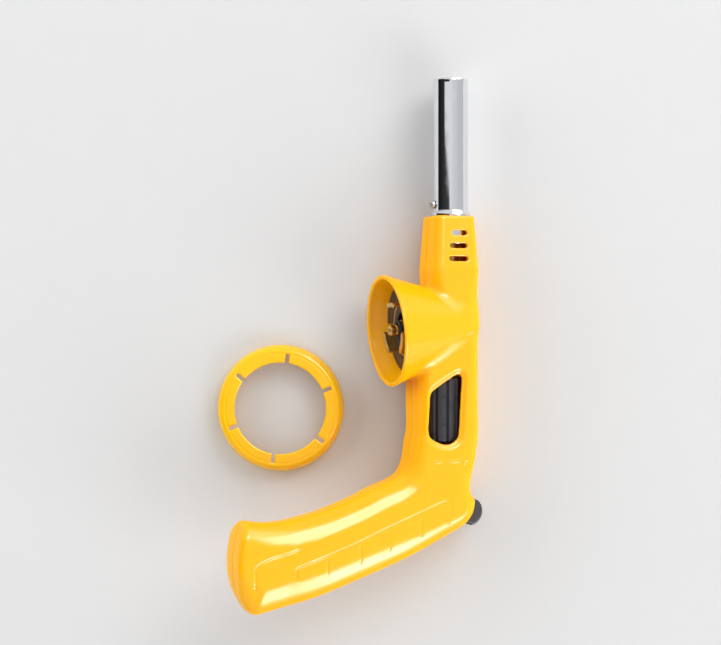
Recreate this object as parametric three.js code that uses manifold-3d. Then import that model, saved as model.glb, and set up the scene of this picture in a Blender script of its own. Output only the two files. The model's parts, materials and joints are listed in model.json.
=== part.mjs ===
// Cartridge gas torch with a pistol grip: burner tube, air-mixing neck, cartridge
// socket, gas flow drum knob, piezo igniter and a loose cartridge centring ring.
//
// Everything of the torch is drawn in the torch's own frame and then laid down:
//   x  across the torch, x = 0 on the burner tube's axis, minus towards the handle
//   y  along the burner tube, plus towards the flame
//   z  across the moulding, z = 0 on the parting plane between the two shells
// The torch lies on its side, rolled by ROLL about y, so that it rests on the rim of
// its socket and on the edge of its body. The ring lies flat beside it.
// Units are millimetres, +Z is up.

import * as THREE from 'three';
import { mergeVertices } from 'three/addons/utils/BufferGeometryUtils.js';
import Module from 'manifold-3d';

const wasm = await Module();
wasm.setup();

const { degToRad, lerp } = THREE.MathUtils;
const vec = (x, y, z = 0) => new THREE.Vector3(x, y, z);

// ---- driving dimensions ----------------------------------------------------------
const ROLL = degToRad(19.3);
const TORCH_AT = vec(51.334, 10.945, 15.35); // puts the origin mid-footprint
const RING_AT = vec(-35.766, -33.155, 0);    // middle of the loose ring

const GAP = 0.3;             // clearance between neighbouring pieces
const WALL = 2.2;            // wall of the moulded shells
const HALF_T = 14.5;         // half thickness of receiver and handle
const EDGE_R = 7.5;          // rounding of their edges
const SPLIT = 0.15;          // half of the gap at the parting plane
const BEYOND = 30;           // z that is clear of the body on either side

// [x, y] outline of receiver and handle, anticlockwise from the top left
const OUTLINE = [
  [-21.3, 4], [-21.3, -54.5], [-22.4, -60], [-23.8, -69], [-26.5, -74.6], [-31.5, -78.2],
  [-43.4, -82.9], [-51.6, -86.8], [-59.6, -90], [-69.8, -93.6], [-80.2, -96.2],
  [-90.5, -98.2], [-99.8, -98.6], [-106, -97.9], [-128, -94],
  [-128, -149.5], [-99.8, -142.7], [-80.2, -137.9], [-69.8, -134.8], [-59.3, -131],
  [-38.1, -123.2], [-27.4, -118.9], [-16.6, -113.8], [-5.7, -108.2], [0.8, -104.9],
  [10.8, -100.6], [10.8, -90], [8.2, -85.2], [8.6, -75.5], [10.2, -65.3], [11.1, -60],
  [11.1, 4],
];
const CORNER = 25;           // index of the corner beside the igniter button
const CORNER_R = 0.4;        // rounding of that corner in the inset outline
const HANDLE_END = -115.3;   // x of the flat end of the handle

const NECK = { x: -1, topY: 54, topR: 10.9, midY: 26.5, midR: 12.8, footY: -2, footR: 14 };

const SOCKET_DIR = vec(Math.cos(degToRad(5)), Math.sin(degToRad(5))).normalize(); // inwards
const MOUTH = vec(-35.1, -4.3);  // centre of the socket's mouth
const SOCKET = { mouthR: 28.5, endR: 11, length: 49.2 }; // cone, outside
const SOCKET_SLOPE = (SOCKET.mouthR - SOCKET.endR) / SOCKET.length;
const SLANT = 1.06;              // radial thickness of a wall in the cone, per wall

const COLLAR = { face: 11.5, thick: 3, bore: 8.6 }; // face is a depth from the mouth
const CLAW = { r: 14, wall: 1.1, from: 3.2, to: COLLAR.face - GAP, hook: 2.2 };

const TUBE = { r: 9, wall: 0.6, low: 40, top: 124 };
const TUBE_SCREW_Y = 60;
const ELECTRODE_X = 5.9;
const ELECTRODE_TIP_X = ELECTRODE_X + 0.3;

const KNOB = { x: -6.2, r: 11.3, top: -27.5, low: -60.5, ribs: 12, journalR: 3, play: 0.35 };
const WINDOW = [             // [x, y] of the opening over the knob
  [-16.8, -38.5], [-11, -34.2], [-4, -29.5], [-0.6, -27.6], [0.5, -29.4], [0.3, -52],
  [-1.1, -57.5], [-4.5, -60.6], [-8.8, -61.3], [-13, -60.2], [-16, -57.2], [-16.9, -52],
];
const WINDOW_Z = 4;          // the window starts this far from the parting plane

// [x, y, width] of the air slots of the neck
const VENTS = [[0.5, 45.4, 7], [0, 38.6, 8], [-0.4, 31.8, 8.8]];
const VENT_R = 1.25;

// [x, y] of the shell screws, which enter from the back shell (z < 0)
const SCREWS = [[-8.6, 29.5], [-15, -20.5], [-14.6, -70.5], [-46, -106], [-79, -117.5],
  [-105, -121]];
const BOSS_R = 3.4;
const SCREW_HEAD_R = 2.6;
const SCREW_SHANK_R = 1.3;
const screwSurface = (y) => (y > 10 ? 9.6 : HALF_T); // half thickness at a screw

// The igniter's parts stand in a row; their stations are depths from the button's top.
const BUTTON_AT = vec(15.4, -97.6);                   // outermost point of the button
const BUTTON_IN = vec(-0.963, 0.27).normalize();      // the way it is pressed
const BUTTON = { width: 12.6, thick: 12.4, skirt: 10, crownR: 10.2 };
const PIEZO = { from: 17, to: 43, width: 9.4 };
const PLUNGER = { from: 10.3, to: 25, width: 5 };
const SPRING = { turns: 4, r: 4.4, wireR: 0.4, margin: 0.9 };

const RING = { r: 32.6, topR: 30.6, height: 10, bore: 28.9, flange: 2, innerR: 23.5 };
const RING_SLOTS = { count: 6, width: 2, r: 28.2, first: 22 }; // first in degrees

// ---- helpers ---------------------------------------------------------------------
const union = (...list) => list.reduce((sum, next) => sum.add(next));
const cut = (base, ...list) => list.reduce((rest, next) => rest.subtract(next), base);
const polar = (radius, angle) => [Math.cos(angle) * radius, Math.sin(angle) * radius];
const shapeOf = (points) => new THREE.Shape(points.map(([x, y]) => new THREE.Vector2(x, y)));

function solid(geometry) {
  geometry.deleteAttribute('normal');
  geometry.deleteAttribute('uv');
  const merged = mergeVertices(geometry, 1e-4);
  const positions = merged.attributes.position.array;
  const corner = (i) => new THREE.Vector3().fromArray(positions, i * 3);
  const source = merged.index.array;
  const triangles = [];
  let volume = 0;
  for (let i = 0; i < source.length; i += 3) {
    const [a, b, c] = source.slice(i, i + 3);
    if (a === b || b === c || a === c) continue;
    triangles.push(a, b, c);
    volume += corner(a).dot(corner(b).cross(corner(c)));
  }
  // faces are turned to point out, whichever way a profile was drawn
  if (volume < 0) triangles.reverse();
  const mesh = new wasm.Mesh({
    numProp: 3,
    vertProperties: Float32Array.from(positions),
    triVerts: Uint32Array.from(triangles),
  });
  mesh.merge();
  return new wasm.Manifold(mesh);
}

function toGeometry(manifold) {
  const mesh = manifold.getMesh();
  const geometry = new THREE.BufferGeometry();
  geometry.setAttribute('position', new THREE.Float32BufferAttribute(mesh.vertProperties, 3));
  geometry.setIndex(new THREE.Uint32BufferAttribute(mesh.triVerts, 1));
  geometry.computeVertexNormals();
  return geometry;
}

// moves a geometry whose axis is +Y so that it starts at `start` and runs along `dir`
function place(geometry, start, dir = vec(0, 1)) {
  const turn = new THREE.Quaternion().setFromUnitVectors(vec(0, 1), dir.clone().normalize());
  geometry.applyQuaternion(turn);
  return geometry.translate(start.x, start.y, start.z);
}

// turned about +Y from [radius, height]; a profile that starts off the axis is closed
function turned(profile, segments) {
  const points = profile[0][0] > 0 ? [...profile, profile[0]] : profile;
  const outline = points.map(([radius, height]) => new THREE.Vector2(radius, height));
  return new THREE.LatheGeometry(outline, segments);
}

function rod(radius, from, to, segments) {
  const dir = to.clone().sub(from);
  const length = dir.length();
  const geometry = new THREE.CylinderGeometry(radius, radius, length, segments);
  geometry.translate(0, length / 2, 0);
  return solid(place(geometry, from, dir));
}
const rodY = (radius, x, y0, y1, segments, z = 0) =>
  rod(radius, vec(x, y0, z), vec(x, y1, z), segments);

function blockGeometry([x0, x1], [y0, y1], [z0, z1]) {
  const geometry = new THREE.BoxGeometry(x1 - x0, y1 - y0, z1 - z0);
  return geometry.translate((x0 + x1) / 2, (y0 + y1) / 2, (z0 + z1) / 2);
}
const block = (xs, ys, zs) => solid(blockGeometry(xs, ys, zs));
const around = (size, middle = 0) => [middle - size / 2, middle + size / 2];

function plate(points, z0, z1) {
  const options = { depth: z1 - z0, bevelEnabled: false };
  return solid(new THREE.ExtrudeGeometry(shapeOf(points), options).translate(0, 0, z0));
}

function wire(points, radius, sides, steps) {
  const extrudePath = new THREE.CatmullRomCurve3(points, false, 'centripetal');
  const section = Array.from({ length: sides }, (_, i) => polar(radius, (i / sides) * Math.PI * 2));
  const options = { steps, extrudePath, bevelEnabled: false };
  return solid(new THREE.ExtrudeGeometry(shapeOf(section), options));
}

// seal ring about a +Y axis
function sealRing(radius, sectionR, segments, x, y) {
  const geometry = new THREE.TorusGeometry(radius, sectionR, 6, segments);
  return geometry.rotateX(Math.PI / 2).translate(x, y, 0);
}

// anticlockwise polygon moved inwards, corner by corner
function inset(points, distance) {
  const count = points.length;
  const normal = (from, to) => {
    const side = new THREE.Vector2(to[0] - from[0], to[1] - from[1]).normalize();
    return new THREE.Vector2(-side.y, side.x);
  };
  return points.map((point, i) => {
    const before = normal(points[(i + count - 1) % count], point);
    const after = normal(point, points[(i + 1) % count]);
    const mitre = before.clone().add(after).normalize();
    const shift = distance / Math.max(0.3, mitre.dot(before));
    return [point[0] + mitre.x * shift, point[1] + mitre.y * shift];
  });
}

// socket frame: height is the depth from the mouth
const socketPoint = (depth) => MOUTH.clone().addScaledVector(SOCKET_DIR, depth);
const inSocket = (geometry) => solid(place(geometry, MOUTH, SOCKET_DIR));
const socketTurned = (profile, segments = 36) => inSocket(turned(profile, segments));
const socketRadius = (depth, skin) => SOCKET.mouthR - SOCKET_SLOPE * depth - skin * SLANT;

// igniter frame: depth from the button's outermost point
const igniterPoint = (depth) => BUTTON_AT.clone().addScaledVector(BUTTON_IN, depth);
const igniterBar = (from, to, width, thick = width) =>
  solid(place(blockGeometry(around(width), [from, to], around(thick)), BUTTON_AT, BUTTON_IN));

// ---- moulded body: each skin function draws the form `skin` below the surface -------
function corePoints() {
  const core = inset(OUTLINE, EDGE_R);
  const [cornerX, cornerY] = core[CORNER];
  const fan = [-66, -44, -22, 0].map((angle) => {
    const [x, y] = polar(CORNER_R, degToRad(angle));
    return [cornerX - CORNER_R + x, cornerY + CORNER_R + y];
  });
  return core.toSpliced(CORNER, 1, ...fan);
}

// receiver and handle
function skinPillow(skin) {
  const bevel = EDGE_R - skin;
  const depth = 2 * (HALF_T - EDGE_R);
  const geometry = new THREE.ExtrudeGeometry(shapeOf(corePoints()), {
    depth,
    bevelEnabled: true,
    bevelSize: bevel,
    bevelThickness: bevel,
    bevelSegments: 3,
    steps: 1,
  });
  geometry.translate(0, 0, -depth / 2);
  const keep = block([HANDLE_END + skin, 60], [-170, 60], [-BEYOND, BEYOND]);
  return solid(geometry).intersect(keep);
}

function skinNeck(skin) {
  const top = NECK.topY - (skin ? 2.4 : 0);
  return solid(place(turned([
    [0, NECK.footY], [NECK.footR - skin, NECK.footY], [NECK.midR - skin, NECK.midY],
    [NECK.topR - skin, top], [0, top],
  ], 32), vec(NECK.x, 0)));
}

function skinSocket(skin) {
  const radius = (depth) => socketRadius(depth, skin);
  const end = SOCKET.length - skin;
  const front = skin ? -3 : 0; // the inside reaches out through the mouth
  return socketTurned([
    [0, front], [radius(front), front], [radius(end - 2), end - 2],
    [radius(end) * 0.8, end + 0.4], [radius(end) * 0.45, end + 1.8], [0, end + 2.3],
  ]);
}

const bodySkin = (skin) => union(skinPillow(skin), skinNeck(skin), skinSocket(skin));

// ledge in the socket that carries the collar
function collarLedge() {
  const depth = COLLAR.face + COLLAR.thick + GAP;
  return socketTurned([[14, depth], [30, depth], [30, depth + 2], [14, depth + 2]]);
}

const crossRib = (xs, ys) => block(xs, ys, [-BEYOND, BEYOND]);

function ribs() {
  const journal = cut(crossRib([-24, 3.2], [-64.6, -62.4]),
    rodY(KNOB.journalR + KNOB.play, KNOB.x, -70, -60, 16));
  const spindleGuide = cut(crossRib([-19.5, 4], [-25.4, -24]), rodY(2.3, KNOB.x, -30, -15, 14));
  const pipeRest = cut(crossRib([-20, 20], [33.6, 35.6]),
    rodY(4.6, 0, 30, 40, 16), rodY(1.7, ELECTRODE_X, 30, 40, 10, 3.2));
  const piezoCradles = [20, 36].map((depth) => cut(
    igniterBar(depth, depth + 2, 17, 2 * BEYOND),
    igniterBar(depth - 5, depth + 7, PIEZO.width + 2 * GAP)));
  return union(journal, spindleGuide, pipeRest, ...piezoCradles);
}

const bosses = () => union(...SCREWS.map(([x, y]) =>
  rod(BOSS_R, vec(x, y, -BEYOND), vec(x, y, BEYOND), 10)));

function ventCutter([x, y, width], side) {
  const geometry = new THREE.CapsuleGeometry(VENT_R, width - 2 * VENT_R, 2, 8);
  geometry.rotateZ(Math.PI / 2);
  geometry.scale(1, 1, 8);
  geometry.translate(x, y, side * 16);
  return solid(geometry);
}

function screwCutters([x, y]) {
  const surface = screwSurface(y);
  return [
    rod(SCREW_SHANK_R + GAP, vec(x, y, -surface - 5), vec(x, y, 8.2), 8),
    rod(SCREW_HEAD_R + 0.4, vec(x, y, -surface - 8), vec(x, y, -surface + 2.6), 12),
  ];
}

function mouldedBody() {
  const outside = bodySkin(0);
  const inner = union(collarLedge(), bosses(), ribs()).intersect(outside);
  return cut(
    union(cut(outside, bodySkin(WALL)), inner),
    plate(WINDOW, WINDOW_Z, 40),
    plate(WINDOW, -40, -WINDOW_Z),
    igniterBar(-6, 16.6, BUTTON.width + 2 * GAP, BUTTON.thick + 2 * GAP),
    rodY(TUBE.r + GAP, 0, 38, 70, 32),
    ...VENTS.flatMap((vent) => [1, -1].map((side) => ventCutter(vent, side))),
    ...SCREWS.flatMap(screwCutters),
    rodY(KNOB.r + KNOB.play, KNOB.x, KNOB.low - 0.6, KNOB.top + 0.6, 28));
}

function shellHalf(body, side) {
  const far = 400;
  const zs = side > 0 ? [SPLIT, far] : [-far, -SPLIT];
  return body.intersect(block([-far, far], [-far, far], zs));
}

function shellScrew([x, y]) {
  const surface = screwSurface(y);
  const profile = [
    [0, 0], [1.6, 0.15], [2.3, 0.7], [SCREW_HEAD_R, 1.6], [SCREW_SHANK_R, 1.6],
    [SCREW_SHANK_R, surface + 5.4], [0.4, surface + 6.8], [0, surface + 6.8],
  ];
  const blank = solid(place(turned(profile, 12), vec(x, y, -surface + 0.7), vec(0, 0, 1)));
  const slotZ = [-surface, -surface + 1.6];
  return cut(blank,
    block(around(3, x), around(0.7, y), slotZ),
    block(around(0.7, x), around(3, y), slotZ));
}

// ---- cartridge connection --------------------------------------------------------
function socketCollar() {
  const back = COLLAR.face + COLLAR.thick;
  const radius = (depth) => socketRadius(depth, WALL) - GAP - 0.15;
  const disc = socketTurned([
    [COLLAR.bore, COLLAR.face], [radius(COLLAR.face), COLLAR.face],
    [radius(back), back], [COLLAR.bore, back],
  ]);
  // keyway for the notch of the cartridge's own collar
  const keyway = blockGeometry(around(5.6), around(20, COLLAR.face), around(9, -19));
  return cut(disc, inSocket(keyway));
}

// ring of three hooks that a bayonet cartridge turns into
function cartridgeClaw() {
  const { r, wall, from, to, hook } = CLAW;
  const ring = socketTurned([
    [r - wall, from + 1.2], [r - hook, from + 1.2], [r - hook, from], [r, from],
    [r, to - 1], [r + 2.2, to - 1], [r + 2.2, to], [r - wall, to],
  ]);
  const gaps = [30, 150, 270].map((angle) => inSocket(
    blockGeometry(around(9), [from - 2, to - 2.2], around(9, r)).rotateY(degToRad(angle))));
  return cut(ring, ...gaps);
}

// block with inlet neck and outlet boss, drilled from inlet to needle seat to outlet
function valveBody() {
  const seatY = -1;
  const blank = union(
    block([-13.5, 4.2], [-11, 6.5], [-7, 7]),
    rod(6.4, socketPoint(18.6), socketPoint(24), 6),
    rod(6.9, socketPoint(16.2), socketPoint(19), 18),
    rodY(4.4, 0, 6, 8.5, 16));
  return cut(blank,
    rod(3.2, socketPoint(15), socketPoint(20), 14),             // stem hole
    rod(1.2, socketPoint(19), vec(KNOB.x + 0.5, 0.9), 8),       // inlet bore
    rodY(2.2, KNOB.x, -12, seatY, 14),                          // needle bore
    rodY(4.2, KNOB.x, -12, -5.4, 16),                           // packing room
    rodY(0.9, KNOB.x, seatY - 0.5, 3.6, 8),
    rod(0.9, vec(KNOB.x, 3), vec(0.4, 3), 8),                   // cross bore
    rodY(0.9, 0, 2.4, 7, 8),
    rodY(2.9, 0, 4.8, 10, 14));                                 // jet hole
}

// stem that opens the cartridge valve
const inletStem = () => socketTurned([
  [0.8, 1.6], [2.1, 1.6], [2.6, 2.6], [2.6, 8.4], [4.9, 8.4], [4.9, 10.6], [5.7, 10.6],
  [5.7, 15.8], [2.8, 15.8], [2.8, 19.6], [0.8, 19.6],
], 16);

// ---- needle valve and knob -------------------------------------------------------
const glandNut = () => cut(
  union(rodY(5.4, KNOB.x, -16, -11.3, 6), rodY(3.9, KNOB.x, -11.5, -7.5, 20)),
  rodY(2.15, KNOB.x, -17, -7, 20));

// round needle with a square lower end that drives with the knob
function needleSpindle() {
  const profile = [[0, -46], [1.5, -46], [1.8, -45.7], [1.8, -3.6], [0.5, -1.1], [0, -0.8]];
  return union(
    solid(place(turned(profile, 20), vec(KNOB.x, 0))),
    block(around(3.4, KNOB.x), [-46, -29], around(3.4)));
}

// fluted drum with a journal at its lower end and a square hole for the spindle
function flowKnob() {
  const bevel = 0.8;
  const count = KNOB.ribs * 4;
  const section = Array.from({ length: count }, (_, i) =>
    polar(i % 4 === 0 ? KNOB.r - 1.1 : KNOB.r, (i / count) * Math.PI * 2));
  const drum = new THREE.ExtrudeGeometry(shapeOf(section), {
    depth: KNOB.top - KNOB.low - 2 * bevel,
    bevelEnabled: true,
    bevelSize: bevel,
    bevelOffset: -bevel,
    bevelThickness: bevel,
    bevelSegments: 1,
  });
  drum.rotateX(-Math.PI / 2);
  drum.translate(KNOB.x, KNOB.low + bevel, 0);
  return cut(
    union(solid(drum), rodY(KNOB.journalR, KNOB.x, -66, KNOB.low + 1, 24)),
    block(around(4.2, KNOB.x), [-47.2, -20], around(4.2)));
}

// ---- burner ----------------------------------------------------------------------
const gasJet = () => cut(
  union(rodY(2.6, 0, 5.1, 9, 20), rodY(3.6, 0, 8.8, 11.6, 6), rodY(2.2, 0, 11.5, 14.5, 16)),
  rodY(0.5, 0, 4, 15, 10), rodY(1.2, 0, 4, 11, 12));

// pipe with a collar at the tube screw and four air holes above the jet
function mixingPipe() {
  const top = 84;
  const airY = 20.5;
  const blank = solid(turned([
    [3.1, 17], [4.2, 17], [4.2, 56.5], [8.1, 56.5], [8.1, 63.5], [4.2, 63.5],
    [4.2, top], [3.1, top],
  ], 18));
  return cut(blank,
    rodY(1.5, ELECTRODE_X, 50, 70, 10),
    rod(1.35, vec(-12, TUBE_SCREW_Y), vec(-4.8, TUBE_SCREW_Y), 10),
    rod(1.2, vec(-6, airY), vec(6, airY), 8),
    rod(1.2, vec(0, airY, -6), vec(0, airY, 6), 8));
}

// head with a ring of gas ports and a hole for the electrode
function burnerHead() {
  const blank = solid(turned([
    [1.2, 87.6], [1.2, 92], [4.6, 92], [8.1, 90], [8.1, 85.2], [5.6, 83.4], [5.6, 79],
    [4.5, 79], [4.5, 87.6],
  ], 20));
  const count = 8;
  const ports = Array.from({ length: count }, (_, i) => {
    const [x, z] = polar(6.35, ((i + 0.5) / count) * Math.PI * 2);
    return rodY(0.7, x, 80, 94, 6, z);
  });
  return cut(blank, ...ports, rodY(1.15, ELECTRODE_TIP_X, 78, 95, 10));
}

// thin tube with a rolled rim
function burnerTube() {
  const { r, wall, low, top } = TUBE;
  const blank = solid(turned([
    [r - wall, low], [r - wall, top - 2.4], [r - 1.2, top - 1.8], [r - 1.3, top - 0.6],
    [r - 1, top], [r - 0.3, top], [r + 0.1, top - 0.6], [r, top - 1.6], [r, low],
  ], 30));
  return cut(blank, rod(1.5, vec(-12, TUBE_SCREW_Y), vec(-6, TUBE_SCREW_Y), 10));
}

function tubeFerrule() {
  const bore = TUBE.r + 0.15;
  const rim = TUBE.r + 1.3;
  const low = NECK.topY + GAP;
  return solid(turned([[bore, low], [bore, 57], [TUBE.r + 0.5, 57], [rim, 55.4], [rim, low]], 30));
}

function tubeScrew() {
  const head = turned([
    [0, -2.5], [1.1, -2.4], [1.9, -1.9], [2.2, -1.1], [2.2, -0.3], [0, -0.3],
  ], 16);
  return union(
    solid(place(head, vec(-TUBE.r, TUBE_SCREW_Y), vec(1, 0))),
    rod(1, vec(-TUBE.r - 0.6, TUBE_SCREW_Y), vec(-5.2, TUBE_SCREW_Y), 14));
}

// ---- ignition --------------------------------------------------------------------
const electrodeInsulator = () => cut(
  rodY(1.2, ELECTRODE_X, 44, 78, 12), rodY(0.75, ELECTRODE_X, 43, 79, 10));

const electrodeRod = () => wire([
  vec(ELECTRODE_X, 46), vec(ELECTRODE_X, 60), vec(ELECTRODE_X + 0.05, 78),
  vec(ELECTRODE_TIP_X, 84), vec(ELECTRODE_TIP_X, 92),
  vec(ELECTRODE_X - 0.4, 95.5), vec(ELECTRODE_X - 3.2, 97),
], 0.45, 6, 18);

// from the inner end of the piezo body up to the electrode
const ignitionWire = () => wire([
  igniterPoint(PIEZO.to + 1.2), igniterPoint(PIEZO.to + 3.4),
  vec(-26.6, -80.6), vec(-19.6, -77.2), vec(-9, -75.6), vec(2.4, -72.5), vec(6.3, -66),
  vec(7.1, -58), vec(7.1, -40), vec(7.1, -20), vec(7.4, -8), vec(7.4, 4), vec(7.2, 12),
  vec(6.7, 24), vec(6, 30, 3.2), vec(5.9, 38, 3.2), vec(5.9, 43.7, 0.6),
], 0.8, 6, 42);

// from the back side of the piezo body to the valve block
const earthWire = () => wire([
  igniterPoint(PIEZO.to - 2.2).add(vec(0, 0, -PIEZO.width / 2 - 1.2)),
  vec(-23.6, -81.6, -7.4), vec(-21.4, -78.4, -8), vec(-17, -75.9, -8.4),
  vec(-9, -76.6, -8.4), vec(1.8, -73, -8), vec(4.8, -66, -8.2), vec(5, -58, -8.4),
  vec(5, -40, -8.6), vec(5, -27, -8.4), vec(4.9, -21, -7), vec(3.4, -16, -5),
  vec(2.2, -11.4, -3.5),
], 0.7, 6, 30);

const piezoBody = () => cut(
  igniterBar(PIEZO.from, PIEZO.to, PIEZO.width),
  igniterBar(PIEZO.from - 1, PIEZO.from + 13, 5.6));

// cap with a crowned outer face
function piezoButton() {
  const crown = new THREE.CylinderGeometry(BUTTON.crownR, BUTTON.crownR, BUTTON.thick, 40);
  crown.rotateX(Math.PI / 2);
  const centre = igniterPoint(BUTTON.crownR);
  crown.translate(centre.x, centre.y, 0);
  return igniterBar(0, BUTTON.skirt, BUTTON.width, BUTTON.thick).intersect(solid(crown));
}

// spring between the button and the piezo body
function buttonSpring() {
  const turn = new THREE.Quaternion().setFromUnitVectors(vec(0, 1), BUTTON_IN);
  const count = SPRING.turns * 12;
  const from = BUTTON.skirt + SPRING.margin;
  const to = PIEZO.from - SPRING.margin;
  const points = Array.from({ length: count + 1 }, (_, i) => {
    const [x, z] = polar(SPRING.r, (i / 12) * Math.PI * 2);
    return vec(x, lerp(from, to, i / count), z).applyQuaternion(turn).add(BUTTON_AT);
  });
  return wire(points, SPRING.wireR, 5, SPRING.turns * 10);
}

// ---- loose centring ring, turned about +Y ----------------------------------------
function cartridgeRing() {
  const { r, topR, height, bore, flange, innerR } = RING;
  const blank = solid(turned([
    [bore, 0], [bore, height - flange], [innerR, height - flange], [innerR, height],
    [topR - 1.2, height], [topR + 0.6, height - 1.6], [r, 3.4], [r, 0],
  ], 42));
  const { count, width, r: slotR, first } = RING_SLOTS;
  const slots = Array.from({ length: count }, (_, i) => {
    const slot = blockGeometry([innerR - 4, slotR], around(6, height), around(width));
    return solid(slot.rotateY(degToRad(first + i * (360 / count))));
  });
  return cut(blank, ...slots);
}

// ---- materials -------------------------------------------------------------------
const material = (settings) => new THREE.MeshStandardMaterial(settings);
const YELLOW = material({ color: 0xf7b800, roughness: 0.32, metalness: 0 });
const BLACK = material({ color: 0x232126, roughness: 0.4, metalness: 0 });
const CHROME = material({ color: 0xd8d8dc, roughness: 0.12, metalness: 1 });
const BRASS = material({ color: 0xb38a3c, roughness: 0.3, metalness: 1 });
const STEEL = material({ color: 0xa9abb0, roughness: 0.35, metalness: 1 });
const RUBBER = material({ color: 0x1a1a1a, roughness: 0.8, metalness: 0 });
const CERAMIC = material({ color: 0xf2efe6, roughness: 0.5, metalness: 0 });
const RED_WIRE = material({ color: 0xa02018, roughness: 0.5, metalness: 0 });
const DARK = material({ color: 0x303238, roughness: 0.5, metalness: 0 });

// ---- assembly --------------------------------------------------------------------
const group = new THREE.Group();
const torch = new THREE.Group();
torch.rotation.y = ROLL;
torch.position.copy(TORCH_AT);
const loose = new THREE.Group();
loose.position.copy(RING_AT);
group.add(torch, loose);

function put(name, manifold, surface, parent = torch) {
  const mesh = new THREE.Mesh(toGeometry(manifold), surface);
  mesh.name = name;
  parent.add(mesh);
  return mesh;
}

const body = mouldedBody();
put('shell_front', shellHalf(body, 1), YELLOW);
put('shell_back', shellHalf(body, -1), YELLOW);
put('socket_collar', socketCollar(), BLACK);
put('cartridge_claw', cartridgeClaw(), BRASS);
put('valve_body', valveBody(), BRASS);
put('inlet_stem', inletStem(), BRASS);
put('inlet_seal', inSocket(sealRing(4.05, 0.9, 16, 0, 7.1)), RUBBER);
put('gland_nut', glandNut(), BRASS);
put('spindle_packing', solid(sealRing(2.95, 0.75, 14, KNOB.x, -6.4)), RUBBER);
put('needle_spindle', needleSpindle(), BRASS);
put('flow_knob', flowKnob(), BLACK);
put('gas_jet', gasJet(), BRASS);
put('mixing_pipe', mixingPipe(), BRASS);
put('burner_head', burnerHead(), STEEL);
put('burner_tube', burnerTube(), CHROME);
put('tube_ferrule', tubeFerrule(), CHROME);
put('tube_screw', tubeScrew(), STEEL);
put('electrode_insulator', electrodeInsulator(), CERAMIC);
put('electrode_rod', electrodeRod(), STEEL);
put('ignition_wire', ignitionWire(), RED_WIRE);
put('earth_wire', earthWire(), DARK);
put('piezo_body', piezoBody(), DARK);
put('piezo_plunger', igniterBar(PLUNGER.from, PLUNGER.to, PLUNGER.width), STEEL);
put('piezo_button', piezoButton(), BLACK);
put('button_spring', buttonSpring(), STEEL);
SCREWS.forEach((screw, i) => put(`shell_screw_${i + 1}`, shellScrew(screw), STEEL));
put('cartridge_ring', cartridgeRing(), YELLOW, loose).rotation.x = Math.PI / 2;

export default group;
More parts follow.
